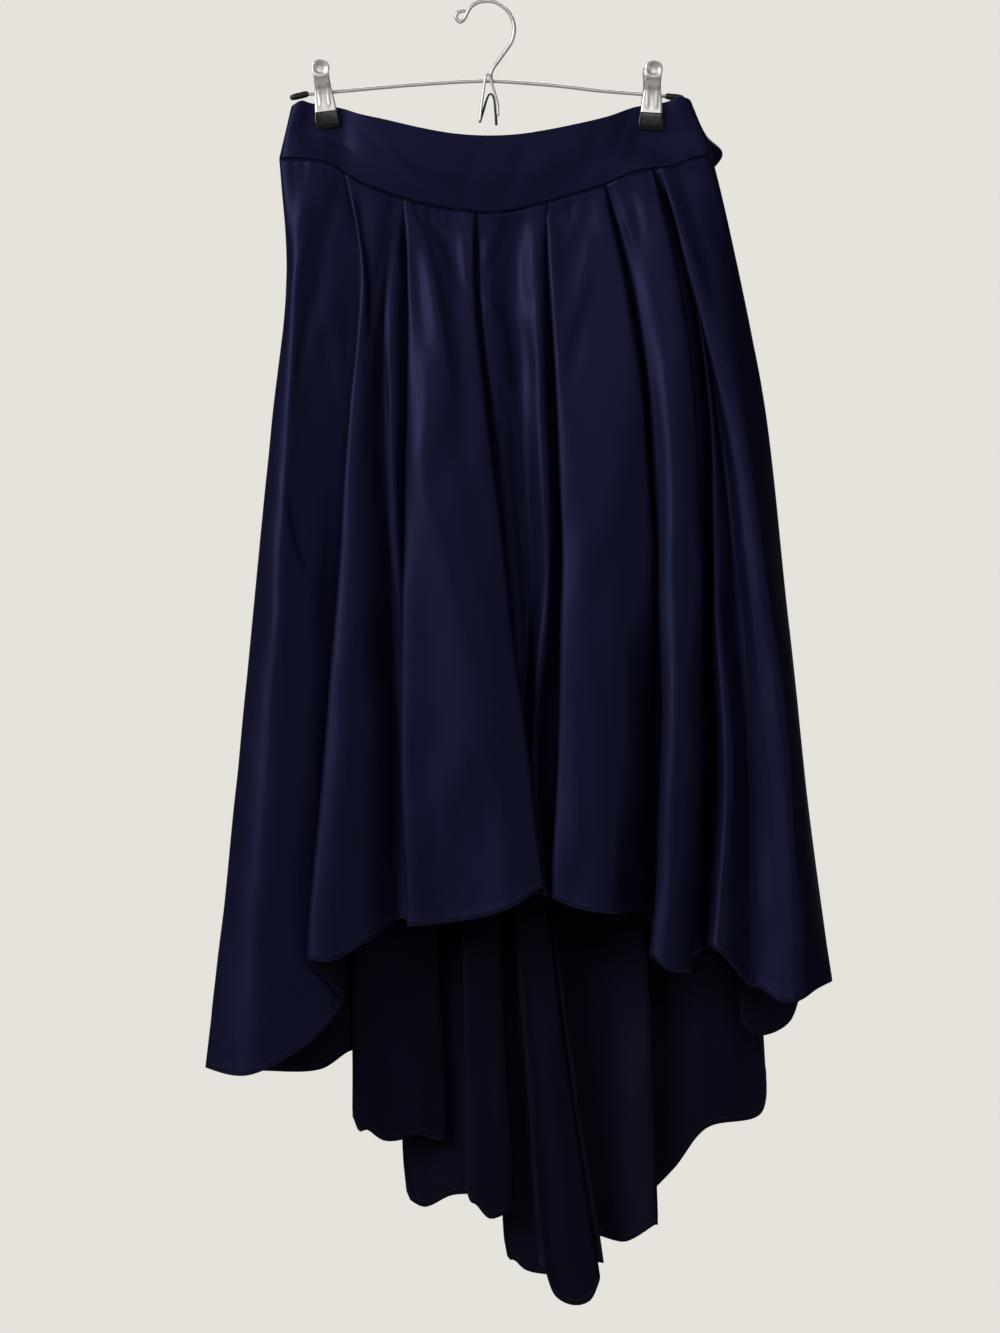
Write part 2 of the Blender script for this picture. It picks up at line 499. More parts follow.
def panel_grid(folds, seam, band, rows, spacing):
    """Grid of the cloth's middle: smooth down each fold line, then smooth across them."""
    values = np.array([row[1:] for row in folds], float)
    xs, hem, depth = values[:, 0:6], values[:, 6], values[:, 7:11]
    t = np.linspace(0.0, 1.0, rows)
    x = smooth_curve(FOLD_LEVELS, xs.T, t)
    y = smooth_curve(DEPTH_LEVELS, depth.T, t)
    top = table_curve(seam, xs[:, 0]) - SEAM_GAP
    z = top + (hem - top) * t[:, None]
    turning = [row[0].endswith(TURN_ENDINGS) for row in folds]
    lines = round_turns(np.stack([x, y, z], axis=2), turning)
    widest = np.linalg.norm(np.diff(lines, axis=1), axis=2).max(axis=0)
    samples = [int(np.clip(round(gap / spacing), 3, 14)) for gap in widest]
    grid = np.array([across(row, samples) for row in lines])
    grid[0, :, 2] = table_curve(seam, grid[0, :, 0]) - SEAM_GAP
    below = np.clip((grid[0, :, 2] - grid[:, :, 2]) / PRESSED, 0.0, 1.0)
    open_share = PRESSED_SHARE + (1 - PRESSED_SHARE) * below**2 * (3 - 2 * below)
    seam_rows = sorted((row[3], row[8]) for row in band)
    band_depth = np.interp(grid[0, :, 0], *np.array(seam_rows).T)
    grid[:, :, 1] = band_depth + (grid[:, :, 1] - band_depth) * open_share
    return grid


def cloth_lengths(grid):
    """Millimetres across each row, measured at mid-height, and down each column."""
    middle_row = grid[grid.shape[0] // 2]
    u = np.concatenate([[0], np.cumsum(np.linalg.norm(np.diff(middle_row, axis=0), axis=1))])
    down = np.linalg.norm(np.diff(grid, axis=0), axis=2)
    v = np.vstack([np.zeros(grid.shape[1]), np.cumsum(down, axis=0)])
    return np.broadcast_to(u, v.shape), v


def grid_normals(grid):
    """Unit normals: the cross product of the differences across and down."""
    normal = np.cross(np.gradient(grid, axis=1), np.gradient(grid, axis=0))
    return normal / np.linalg.norm(normal, axis=2, keepdims=True)


front = panel_grid(FRONT_FOLDS, FRONT_SEAM, FRONT_BAND, 156, 4.2)[:, ::-1]
back_left = panel_grid(BACK_LEFT_FOLDS, BACK_SEAM, BACK_BAND, 215, 4.2)
back_right = panel_grid(BACK_RIGHT_FOLDS, BACK_SEAM, BACK_BAND, 215, 4.2)
print("grids:", front.shape[:2], back_left.shape[:2], back_right.shape[:2])

# %% [markdown]
# The back hem is cut in one long curve, so each flap ends round where its fold turns back,
# and the layer behind a fold stays out of sight. A few fold lines give no such corners, so
# each one is named here with the way that the hem rises or drops beside it.

# %% Rounded flaps
HEM_LEFT = (
    # fold line, mm on from it along the hem, lift in mm, reach before it, reach after it
    ("one_edge", 8, -12, 9, 9), ("two_edge", 0, 52, 45, 3.5), ("three_edge", 8, -9, 8, 10),
    ("four_edge", 0, 28, 22, 3.5), ("four_edge", 9, -10, 7, 9),
)
HEM_RIGHT = (("right_rear_end", 0, 16, 8, 25),)


def shape_hem(grid, folds, shapes):
    """Rounds the flaps: each shape lifts the hem by lift x exp(-(distance / reach)^2), and
    a column follows by the cube of its share of the way down."""
    along = np.concatenate([[0], np.cumsum(np.linalg.norm(np.diff(grid[-1], axis=0), axis=1))])
    ends = {row[0]: np.array([row[6], row[11], row[7]], float) for row in folds}
    rise = np.zeros(len(along))
    for fold, further, lift, before, after in shapes:
        nearest = np.argmin(np.linalg.norm(grid[-1] - ends[fold], axis=1))
        away = along - along[nearest] - further
        rise += lift * np.exp(-(away / np.where(away < 0, before, after)) ** 2)
    shaped = grid.copy()
    shaped[:, :, 2] += rise * np.linspace(0.0, 1.0, len(grid))[:, None] ** 3
    return shaped


back_left = shape_hem(back_left, BACK_LEFT_FOLDS, HEM_LEFT)
back_right = shape_hem(back_right, BACK_RIGHT_FOLDS, HEM_RIGHT)
print("hem shapes:", len(HEM_LEFT) + len(HEM_RIGHT))

# %% [markdown]
# Between the folds the photograph shows finer creases: drag lines that run out of the
# clips and the pleats, and soft dents where the cloth hung folded. Each is a row: how deep,
# how wide on either side, and the points that it passes, placed by hand and as uneven as
# the real ones. The cloth moves along its normal by depth x exp(-(distance / width)^2).

# %% Creases
CREASES_FRONT = (
    # depth, width on the left, width on the right, then points of x and z down the crease
    (-1.6, 7, 4, (-133, -157), (-137, -179), (-147, -218), (-150, -258), (-157, -299)),
    (1.3, 5, 6, (-164, -171), (-170, -211), (-179, -255)),
    (1.1, 6, 3, (-111, -218), (-109, -263), (-106, -318)),
    (1.2, 3, 6, (-76, -182), (-88, -203), (-96, -250), (-101, -294), (-105, -320)),
    (-0.8, 4, 3, (-90, -214), (-100, -250), (-107, -298)),
    (1.2, 4, 4, (-87, -218), (-79, -237), (-76, -268)),
    (1.8, 7, 5, (-70, -182), (-60, -211), (-50, -250), (-42, -299), (-34, -354)),
    (-1.2, 6, 6, (-71, -200), (-63, -250), (-55, -315)),
    (-1.1, 5, 5, (-50, -197), (-34, -221), (-21, -268)),
    (0.8, 4, 4, (-29, -192), (-23, -218), (-20, -252)),
    (-0.9, 3, 3, (-55, -188), (-49, -203)), (0.8, 3, 3, (-40, -191), (-36, -201)),
    (-0.9, 3, 3, (-66, -184), (-58, -201)),
    (-1.7, 4, 5, (20, -187), (10, -216), (1, -245)), (1.4, 4, 4, (13, -192), (4, -218), (-3, -237)),
    (1.8, 5, 6, (-8, -263), (2, -273), (13, -289), (18, -341), (31, -380)),
    (-1.5, 5, 5, (26, -218), (28, -258), (39, -278)), (1.0, 4, 4, (37, -195), (40, -218), (42, -250)),
    (-1.8, 8, 6, (31, -286), (34, -315), (36, -350)),
    (1.3, 6, 6, (-144, -258), (-136, -315), (-135, -367)),
    (-1.2, 5, 5, (-148, -289), (-140, -331), (-134, -380)),
    (-1.3, 3, 3, (67, -187), (57, -203)), (1.2, 4, 4, (85, -175), (80, -195), (68, -226)),
    (-1.0, 3, 3, (77, -177), (71, -195)), (1.5, 6, 8, (91, -205), (90, -231), (81, -268), (74, -302)),
    (-1.6, 7, 7, (94, -258), (87, -278), (78, -315), (72, -351)),
    (0.9, 7, 7, (107, -218), (107, -255), (115, -299)),
    (-1.2, 3, 3, (115, -179), (123, -200), (129, -218)),
    (-1.4, 4, 4, (121, -161), (133, -192), (138, -218)), (1.1, 4, 4, (132, -156), (141, -184), (145, -208)),
    (-1.0, 3, 3, (144, -153), (149, -177)), (1.0, 7, 7, (133, -224), (141, -263), (146, -315)),
    (1.2, 6, 6, (175, -211), (185, -242), (196, -278)),
    (-1.1, 8, 8, (191, -218), (206, -278), (219, -331)),
    (0.9, 7, 7, (185, -164), (196, -200), (211, -237)),
    (-1.5, 5, 4, (-166, -195), (-173, -225), (-178, -252)),
    (-1.4, 5, 5, (-148, -243), (-160, -280), (-167, -315), (-178, -393)),
    (1.4, 6, 5, (-186, -430), (-179, -464), (-167, -509), (-158, -522)),
    (-1.8, 5, 6, (-179, -452), (-172, -480), (-163, -512)),
    (1.3, 9, 9, (-186, -540), (-182, -590), (-176, -640)),
    (-1.2, 11, 9, (-205, -640), (-202, -710), (-196, -780)),
    (1.2, 10, 10, (-226, -700), (-222, -800), (-214, -900)),
    (-1.1, 8, 8, (-200, -820), (-190, -880), (-176, -930)),
    (1.3, 4, 4, (-94, -360), (-90, -440), (-80, -541)),
    (-1.2, 5, 5, (-88, -330), (-84, -420), (-76, -520)),
    (1.5, 14, 9, (-72, -375), (-30, -540), (0, -660), (42, -771)),
    (-1.2, 12, 12, (-50, -470), (-18, -590), (8, -690)),
    (1.0, 10, 10, (-60, -620), (-42, -700), (-30, -790)),
    (-0.9, 9, 9, (-14, -690), (0, -750), (10, -800)),
    (1.2, 10, 10, (80, -420), (86, -520), (92, -620)), (-1.2, 11, 11, (104, -500), (109, -630), (112, -760)),
    (1.0, 7, 7, (75, -640), (78, -710), (80, -780)),
    (-1.2, 6, 6, (166, -420), (170, -510), (172, -600)), (1.0, 5, 5, (160, -620), (160, -710), (158, -800)),
    (-1.3, 8, 8, (232, -380), (244, -450), (254, -520)), (1.2, 8, 8, (262, -560), (270, -630), (276, -700)),
    (-1.2, 4, 4, (274, -641), (278, -725), (280, -887)), (0.8, 5, 5, (215, -640), (212, -730), (208, -820)),
    (-1.0, 8, 8, (250, -700), (256, -780), (262, -850)), (1.0, 6, 6, (238, -560), (240, -640), (236, -720)),
)
CREASES_BACK = (
    (1.4, 6, 6, (-150, -190), (-160, -330)), (-1.4, 6, 6, (-120, -200), (-112, -360)),
    (1.4, 7, 7, (-80, -210), (-60, -420)), (-1.2, 6, 6, (-40, -220), (-18, -380)),
    (1.2, 7, 7, (20, -215), (34, -400)), (-1.4, 7, 7, (70, -205), (100, -420)),
    (1.4, 7, 7, (120, -190), (150, -380)), (-1.2, 7, 7, (160, -180), (200, -360)),
    (1.4, 10, 10, (-190, -420), (-200, -640)), (-1.4, 9, 9, (-130, -480), (-120, -700)),
    (1.4, 9, 9, (-70, -520), (-52, -800)), (-1.2, 8, 8, (-20, -560), (10, -860)),
    (1.4, 10, 10, (60, -520), (92, -840)), (-1.4, 10, 10, (130, -460), (150, -800)),
    (1.4, 10, 10, (190, -440), (214, -700)), (-1.2, 9, 9, (236, -420), (256, -700)),
    (1.2, 8, 8, (-90, -880), (-84, -1010)), (-1.0, 6, 6, (-60, -960), (-62, -1070)),
    (1.0, 6, 6, (0, -900), (8, -1080)), (-1.2, 7, 7, (60, -960), (74, -1140)),
    (1.2, 9, 9, (108, -900), (118, -1090)), (1.2, 8, 8, (182, -860), (176, -1030)),
    (-1.2, 9, 9, (214, -880), (224, -990)), (0.9, 5, 5, (30, -700), (52, -960)),
)
CREASES_BAND = (
    (1.2, 6, 6, (-129, -100), (-57, -164)), (-0.8, 5, 5, (-118, -99), (-66, -150)),
    (-0.6, 7, 7, (-150, -112), (-146, -140)), (0.5, 8, 8, (-90, -110), (-40, -176)),
    (0.5, 8, 8, (-10, -128), (-22, -182)), (0.7, 7, 7, (34, -124), (16, -180)),
    (-0.5, 8, 8, (62, -118), (40, -172)), (0.5, 7, 7, (100, -108), (84, -166)),
    (-0.8, 6, 6, (134, -100), (116, -150)), (0.8, 6, 6, (166, -96), (186, -136)),
    (0.5, 6, 6, (150, -118), (156, -146)), (0.5, 5, 5, (-168, -100), (-178, -138)),
)


def press_creases(grid, creases):
    """Moves a grid along its normals by the sum of its creases. The distance is that to the
    nearest stretch of the line, and sin(pi x share of its length)^0.6 fades both ends."""
    normal = grid_normals(grid)
    move = np.zeros(grid.shape[:2])
    for depth, left_width, right_width, *points in creases:
        points = np.array(points, float)
        lengths = np.linalg.norm(np.diff(points, axis=0), axis=1)
        gone = np.concatenate([[0], np.cumsum(lengths)])
        nearest = np.full(move.shape, np.inf)
        share_there, side_there = np.zeros(move.shape), np.zeros(move.shape)
        for start, end, before, length in zip(points[:-1], points[1:], gone, lengths):
            gap = grid[:, :, [0, 2]] - start
            along = np.clip(gap @ (end - start) / length**2, 0.0, 1.0)
            off = gap - along[:, :, None] * (end - start)
            away = np.linalg.norm(off, axis=2)
            closer = away < nearest
            nearest = np.where(closer, away, nearest)
            share_there = np.where(closer, (before + along * length) / gone[-1], share_there)
            side_there = np.where(closer, off[:, :, 0], side_there)
        width = np.where(side_there < 0, left_width, right_width)
        fade = np.sin(np.pi * np.clip(share_there * 0.96 + 0.02, 0, 1)) ** 0.6
        move += depth * fade * np.exp(-(nearest / width) ** 2)
    return grid + normal * move[:, :, None]


def soften(grid, hem_pucker, height):
    """Adds the cloth's own unrest: long shallow waves, and puckers that fade off the hem
    and the waist seam. Each is a sine of the distance across, with a wandering phase."""
    u, v = cloth_lengths(grid)
    left = v[-1] - v
    wave = 0.80 * np.sin(u / 15 + v / 93 + 1.7 * np.sin(v / 61))
    wave += 0.40 * np.sin(u / 8.5 - v / 71 + 2.1 * np.sin(v / 47 + u / 120))
    wave += 0.45 * np.sin(v / 28 + u / 31 + 1.3 * np.sin(u / 23))
    puckers = np.sin(u / 1.9 + 1.6 * np.sin(u / 13.0)) * (0.7 + 0.5 * np.sin(u / 29.0))
    gathers = np.sin(u / 2.6 + 1.4 * np.sin(u / 17.0)) * (0.7 + 0.4 * np.sin(u / 41.0))
    wave += hem_pucker * puckers * np.exp(-((left - 5.0) / 6.0) ** 2)
    wave += 0.35 * gathers * np.exp(-v / 9.0) + 0.5 * np.exp(-v / 6.0)
    wave += 0.28 * np.exp(-(np.clip(left - height, 0, None) / 1.2) ** 2)
    calm = np.clip(np.minimum(u, u[:, -1:] - u) / 12.0, 0.0, 1.0)
    return grid + grid_normals(grid) * (wave * calm)[:, :, None]


HEM_HEIGHT = 5.0
front = soften(press_creases(front, CREASES_FRONT), 0.30, HEM_HEIGHT)
back_left = soften(press_creases(back_left, CREASES_BACK), 0.22, HEM_HEIGHT)
back_right = soften(press_creases(back_right, CREASES_BACK), 0.22, HEM_HEIGHT)
print("creases pressed:", len(CREASES_FRONT), "on the front and", len(CREASES_BACK), "on the back")

# %% [markdown]
# A sheet becomes an object with a UV map in millimetres. Solidify gives it the 0.7 mm that
# satin with its turned edge has. Its inner skin takes the second material, because the
# wrong side of satin is dull, and that is what shows below the short front hem.

# %% Cloth objects
CLOTH_THICK = 0.7 * MM


def grid_faces(rows, columns):
    """Quads of a grid, wound so that their normals follow grid_normals."""
    corner = np.arange(rows * columns).reshape(rows, columns)
    quads = np.stack([corner[:-1, :-1], corner[1:, :-1], corner[1:, 1:], corner[:-1, 1:]], axis=2)
    return quads.reshape(-1, 4)[:, ::-1]


def mesh_piece(name, points, faces, materials, uv=None):
    """An object at the origin from points in millimetres, with an optional UV per point."""
    mesh = bpy.data.meshes.new(name)
    faces = [list(face) for face in faces]
    mesh.from_pydata((np.asarray(points).reshape(-1, 3) * MM).tolist(), [], faces)
    if uv is not None:
        layer = mesh.uv_layers.new(name="cloth")
        corners = np.empty(len(mesh.loops), dtype=np.int32)
        mesh.loops.foreach_get("vertex_index", corners)
        layer.data.foreach_set("uv", np.asarray(uv).reshape(-1, 2)[corners].ravel())
    for material in materials:
        mesh.materials.append(material)
    mesh.shade_smooth()
    piece = bpy.data.objects.new(name, mesh)
    bpy.context.scene.collection.objects.link(piece)
    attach(piece, "root")
    return piece


def cloth_piece(name, grid, node, materials, thick=CLOTH_THICK):
    """A thin shell on a grid: its outward side first, its inward side last in materials."""
    u, v = cloth_lengths(grid)
    faces = grid_faces(*grid.shape[:2])
    piece = mesh_piece(name, grid, faces, materials, np.stack([u, v], axis=2))
    shell = piece.modifiers.new("thickness", "SOLIDIFY")
    shell.thickness = thick
    shell.offset = 0.0
    shell.use_rim = True
    shell.material_offset = len(materials) - 1
    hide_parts(node)
    print(name, "triangles:", 4 * len(faces))
    return piece


skirt_front = cloth_piece("front_panel", front, "front_skirt", [SATIN, SATIN_BACK])
skirt_left = cloth_piece("back_left_panel", back_left, "back_left_skirt", [SATIN, SATIN_BACK])
skirt_right = cloth_piece("back_right_panel", back_right, "back_right_skirt", [SATIN, SATIN_BACK])

# %% [markdown]
# The waistband is stiffened and folded over at its top edge, so it is a closed strip 2 mm
# thick. Its section runs up the outside, round the fold and down the inside, and that loop
# is carried along the waist, with the photograph's long drag line below the left clip.

# %% Waistband
BAND_LEVELS = (0.0, 0.50, 0.76, 1.0)
BAND_THICK = 1.9


def band_grid(table, seam, rows, spacing):
    """Grid of a band's middle, from its top edge to the waist seam."""
    values = np.array([row[1:] for row in table], float)
    top_x, top_z, low_x, bulge = values[:, 0], values[:, 1], values[:, 2], values[:, 3]
    level = np.array(BAND_LEVELS)
    swell = np.array([0.0, 0.35, 1.0, 0.0])
    xs = top_x + (low_x - top_x) * level[:, None] + bulge * swell[:, None]
    v = np.linspace(0.0, 1.0, rows)
    x = smooth_curve(level, xs, v, steady=True)
    y = smooth_curve(level, values[:, 4:8].T, v, steady=True)
    z = top_z + (table_curve(seam, low_x) - top_z) * v[:, None]
    lines = np.stack([x, y, z], axis=2)
    widest = np.linalg.norm(np.diff(lines, axis=1), axis=2).max(axis=0)
    samples = [int(np.clip(round(gap / spacing), 3, 14)) for gap in widest]
    grid = np.array([across(row, samples) for row in lines])
    grid[-1, :, 2] = table_curve(seam, grid[-1, :, 0])
    return grid


def band_piece(name, table, seam, node):
    """The closed strip: outer side from the seam up, a half round, inner side down."""
    grid = press_creases(band_grid(table, seam, 30, 2.6), CREASES_BAND)
    normal = grid_normals(grid)
    half = BAND_THICK / 2
    outer, inner = grid + normal * half, grid - normal * half
    bend = np.radians([30, 60, 90, 120, 150])[:, None, None]
    up = grid[0] - grid[1]
    up /= np.linalg.norm(up, axis=1, keepdims=True)
    crown = grid[0] + half * (normal[0] * np.cos(bend) + up * np.sin(bend)) - up * half
    loop = np.concatenate([outer[:0:-1], crown, inner[1:]])
    rows, columns = loop.shape[:2]
    corner = np.arange(rows * columns).reshape(rows, columns)
    corner = np.vstack([corner, corner[:1]])
    quads = np.stack([corner[:-1, :-1], corner[:-1, 1:], corner[1:, 1:], corner[1:, :-1]], axis=2)
    faces = quads.reshape(-1, 4)[:, ::-1].tolist()
    length = np.concatenate([[0], np.cumsum(np.linalg.norm(np.diff(grid[0], axis=0), axis=1))])
    around = np.concatenate([[0], np.cumsum(np.linalg.norm(np.diff(loop[:, columns // 2], axis=0), axis=1))])
    uv = np.stack(np.broadcast_arrays(around[:, None], length[None, :]), axis=2)
    for column, turn in ((0, 1), (columns - 1, -1)):
        strip = corner[:rows, column]
        pairs = rows // 2
        for k in range(pairs):
            a, b, c, d = strip[k], strip[k + 1], strip[rows - 2 - k], strip[rows - 1 - k]
            ring = [a, b, c, d] if len({a, b, c, d}) == 4 else sorted({a, b, c, d}, key=[a, b, c, d].index)
            if len(ring) > 2:
                faces.append(ring[::turn])
            if rows - 2 - k <= k + 1:
                break
    piece = mesh_piece(name, loop, faces, [BAND_SATIN], uv)
    outward(piece)
    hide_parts(node)
    print(name, "faces:", len(faces))
    return piece


def outward(piece):
    """Turns all faces of a closed piece outward, and checks the sign of its volume."""
    work = bmesh.new()
    work.from_mesh(piece.data)
    bmesh.ops.recalc_face_normals(work, faces=work.faces)
    if work.calc_volume(signed=True) < 0:
        bmesh.ops.reverse_faces(work, faces=work.faces)
    work.to_mesh(piece.data)
    work.free()


band_front = band_piece("front_band", FRONT_BAND, FRONT_SEAM, "front_waistband")
band_back = band_piece("back_band", BACK_BAND, BACK_SEAM, "back_waistband")

# %% [markdown]
# The hems are turned up 5 mm and stitched with a lock stitch, about 3 mm to the stitch. A
# stitch is a short thread that dips into the cloth at both ends: a spindle with six sides,
# whose radius follows the square root of a sine. All of them are one mesh, laid by whole
# arrays along the line that lies 5 mm above the hem.

# %% Hem stitches
STITCH = 2.3
STITCH_STEP = 3.1
THREAD_RADIUS = 0.28


def line_above_hem(grid, height, out):
    """Points of the outer skin at a given distance above the hem, and their normals."""
    u, v = cloth_lengths(grid)
    left = v[-1] - v
    normal = grid_normals(grid)
    columns = np.arange(grid.shape[1])
    row = (left > height).sum(axis=0) - 1
    share = ((left[row, columns] - height) / (left[row, columns] - left[row + 1, columns]))[:, None]
    point = grid[row, columns] * (1 - share) + grid[row + 1, columns] * share
    facing = normal[row, columns]
    return point + facing * out, facing


def lay_stitches(name, line, facing, step, length, radius, lean=0.0):
    """Spindles along a line: each is a tube with six sides and a bulging middle."""
    gone = np.concatenate([[0], np.cumsum(np.linalg.norm(np.diff(line, axis=0), axis=1))])
    starts = np.arange(step, gone[-1] - 2 * step, step)

    def at(distance, values):
        return np.stack([np.interp(distance, gone, values[:, k]) for k in range(3)], axis=-1)

    first, last = at(starts, line), at(starts + length, line)
    out = at(starts + length / 2, facing)
    along = last - first
    size = np.linalg.norm(along, axis=1, keepdims=True)
    along = along / size
    side = np.cross(along, out)
    side /= np.linalg.norm(side, axis=1, keepdims=True)
    shift = side * lean
    share = np.array([0.02, 0.25, 0.5, 0.75, 0.98])
    thick = np.sqrt(np.sin(np.pi * share)) * radius
    angle = np.arange(6) * math.pi / 3
    spine = first[:, None] + along[:, None] * (size[:, None] * share[:, None])
    spine = spine + shift[:, None] * (share - 0.5)[:, None]
    ring = side[:, None, None] * np.cos(angle)[:, None] + out[:, None, None] * np.sin(angle)[:, None]
    points = spine[:, :, None] + ring * thick[:, None, None]
    count = len(starts)
    base = (np.arange(count) * 30)[:, None]
    faces = []
    for i in range(4):
        for j in range(6):
            k = (j + 1) % 6
            faces.append(base + np.array([i * 6 + j, i * 6 + k, (i + 1) * 6 + k, (i + 1) * 6 + j]))
    quads = np.concatenate(faces).tolist()
    caps = np.concatenate([base + np.arange(6)[::-1], base + 24 + np.arange(6)]).tolist()
    piece = mesh_piece(name, points, quads + caps, [THREAD])
    outward(piece)
    print(name, "stitches:", count)
    return piece


for name, grid in (("front_hem", front), ("back_left_hem", back_left), ("back_right_hem", back_right)):
    for word, out in (("outer", 0.45), ("inner", -0.45)):
        line, facing = line_above_hem(grid, HEM_HEIGHT, out)
        lay_stitches(f"{name}_{word}_stitches", line, facing, STITCH_STEP, STITCH, THREAD_RADIUS)

# %% [markdown]
# Inside the centre-back seam the two edges stand out as one narrow allowance, neatened with
# an overlock. It shows below the front hem as a dark line that wanders beside the seam, so
# it is a ribbon from the seam's own points, 8 mm wide, with slanted stitches on its edge.

# %% Centre-back seam allowance
ALLOWANCE = 8.0
seam_line = back_right[:, 0]
height = np.linspace(0.0, 1.0, len(seam_line))
inward = np.stack([
    np.full(len(seam_line), 0.45) + 0.25 * np.sin(height * 9), -np.ones(len(seam_line)),
    np.zeros(len(seam_line))], axis=1)
inward /= np.linalg.norm(inward, axis=1, keepdims=True)
width = np.linspace(0.0, 1.0, 7)
ribbon = seam_line[:, None] + inward[:, None] * (width * ALLOWANCE)[None, :, None]
ribbon[:, :, 0] += 0.5 + 0.8 * (width**2)[None, :] * np.sin(height * 55 + 2 * np.sin(height * 17))[:, None]
ribbon = ribbon[6:-3]
allowance = mesh_piece(
    "centre_back_allowance", ribbon, grid_faces(*ribbon.shape[:2]), [SATIN_BACK],
    np.stack(cloth_lengths(ribbon), axis=2))
shell = allowance.modifiers.new("thickness", "SOLIDIFY")
shell.thickness = 0.8 * MM
shell.offset = 0.0
edge_line = ribbon[:, 4] + grid_normals(ribbon)[:, 4] * 0.5
lay_stitches(
    "centre_back_overlock", edge_line, grid_normals(ribbon)[:, 4], 2.4, 1.6, 0.3, lean=5.0)

# %% [markdown]
# The hanger is bent from chromed wire. A wire is a circle carried along a smooth path, with
# the ring turned so that one of its axes stays near the depth direction. The hook ends in a
# flattened teardrop eye, and two hairpins hang over the middle of the bar: the front one
# is bare, the one behind it is dipped in black.

# %% Wires of the hanger
HOOK_PATH = (
    (-21.6, -7), (-24.8, -7.5), (-28.1, -9.9), (-28.6, -13), (-25.4, -16.9), (-22, -14.9),
    (-19.5, -10.4), (-16.7, -5.2), (-12.2, -0.8), (-6, 1.4), (0, 1.75), (6, 0.9), (12.5, -2.5),
    (18.5, -8), (22.5, -16), (23.5, -25), (21, -35), (16.5, -42), (10.5, -50.5), (5, -58),
    (2.7, -63), (2.5, -68.5),
)
BAR_PATH = (
    (-162, -82), (-139, -80), (-100, -76.5), (-61, -73.2), (-1, -70.3), (40, -72.6),
    (65, -74.8), (101, -79), (137, -82), (160, -84),
)
OUTER_PRONG = (
    (-7.2, -106), (-6.3, -96.3), (-4.5, -82), (-2.7, -70.2), (-1.7, -66), (0, -64.4),
    (1.7, -66), (2.9, -70.2), (5.9, -81), (8.6, -91), (9, -101),
)
INNER_PRONG = (
    (-7.2, -106.7), (-4, -96.3), (-0.8, -86), (0.7, -83), (2.3, -81.8), (3.9, -83),
    (5.2, -86), (6.6, -96.3), (7.5, -109),
)


def tube(path, radius, sides=24, y=0.0, steps=10, swell=None, round_end=0.0):
    """Points and faces of a wire along a path: centre + radius (side cos a + other sin a).
    swell gives the radius along the path, and round_end the share that is a dome."""
    points = np.asarray(path, float)
    if points.shape[1] == 2:
        points = np.column_stack([points[:, 0], np.full(len(points), y), points[:, 1]])
    line = across(points, [steps] * (len(points) - 1))
    tangent = np.gradient(line, axis=0)
    tangent /= np.linalg.norm(tangent, axis=1, keepdims=True)
    side = np.tile([0.0, 1.0, 0.0], (len(line), 1))
    side -= tangent * (side * tangent).sum(axis=1, keepdims=True)
    side /= np.linalg.norm(side, axis=1, keepdims=True)
    other = np.cross(tangent, side)
    gone = np.concatenate([[0], np.cumsum(np.linalg.norm(np.diff(line, axis=0), axis=1))])
    size = np.full(len(line), radius)
    if swell is not None:
        size = size * np.interp(gone / gone[-1], *zip(*swell))
    angle = np.arange(sides) * 2 * math.pi / sides
    ring = side[:, None] * np.cos(angle)[:, None] + other[:, None] * np.sin(angle)[:, None]
    body = line[:, None] + ring * size[:, None, None]
    bend = np.radians([75, 50, 25])
    low = [line[0] - tangent[0] * size[0] * math.sin(b) + ring[0] * size[0] * math.cos(b) for b in bend]
    top = [line[-1] + tangent[-1] * size[-1] * math.sin(b) + ring[-1] * size[-1] * math.cos(b)
           for b in bend[::-1]]
    if round_end:
        body = np.concatenate([np.array(low), body, np.array(top)])
    rows = len(body)
    corner = np.arange(rows * sides).reshape(rows, sides)
    corner = np.hstack([corner, corner[:, :1]])
    quads = np.stack([corner[:-1, :-1], corner[:-1, 1:], corner[1:, 1:], corner[1:, :-1]], axis=2)
    faces = quads.reshape(-1, 4).tolist()
    faces += [list(range(sides - 1, -1, -1)), list(range((rows - 1) * sides, rows * sides))]
    return body.reshape(-1, 3), faces


def hard_piece(name, parts, material, nodes, smooth_angle=35):
    """One object from several (points, faces), faces outward, in place of CAD nodes."""
    points, faces, base = [], [], 0
    for these, those in parts:
        points.append(np.asarray(these, float))
        faces += [[base + k for k in face] for face in those]
        base += len(these)
    piece = mesh_piece(name, np.vstack(points), faces, [material])
    piece.data.set_sharp_from_angle(angle=math.radians(smooth_angle))
    outward(piece)
    if nodes:
        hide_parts(*nodes)
    print(name, "faces:", len(faces))
    return piece


BAR_RADIUS = 1.7
DIPPED = ((0.0, 1.05), (0.15, 1.0), (0.45, 0.72), (0.60, 0.72), (0.85, 1.0), (1.0, 1.05))
PRONG_RADIUS = 1.2
PRONG_Y = -(BAR_RADIUS + PRONG_RADIUS + 0.3)
hard_piece(
    "bent_hook", [tube(HOOK_PATH, 1.75, steps=9, round_end=1)], CHROME, ["hook"])
hard_piece(
    "cross_bar", [tube(BAR_PATH, BAR_RADIUS, steps=10, round_end=1)], CHROME, ["bar"])
hard_piece(
    "front_hairpin", [tube(OUTER_PRONG, PRONG_RADIUS, 16, PRONG_Y, 8, round_end=1)],
    CHROME, ["outer_prong"])
hard_piece(
    "dipped_hairpin", [tube(INNER_PRONG, PRONG_RADIUS, 16, PRONG_Y + 2 * PRONG_RADIUS + 0.3, 8, DIPPED, 1)],
    RUBBER, ["inner_prong"])
CAP_SWELL = ((0.0, 0.94), (0.06, 1.0), (0.80, 1.0), (1.0, 0.86))
caps = []
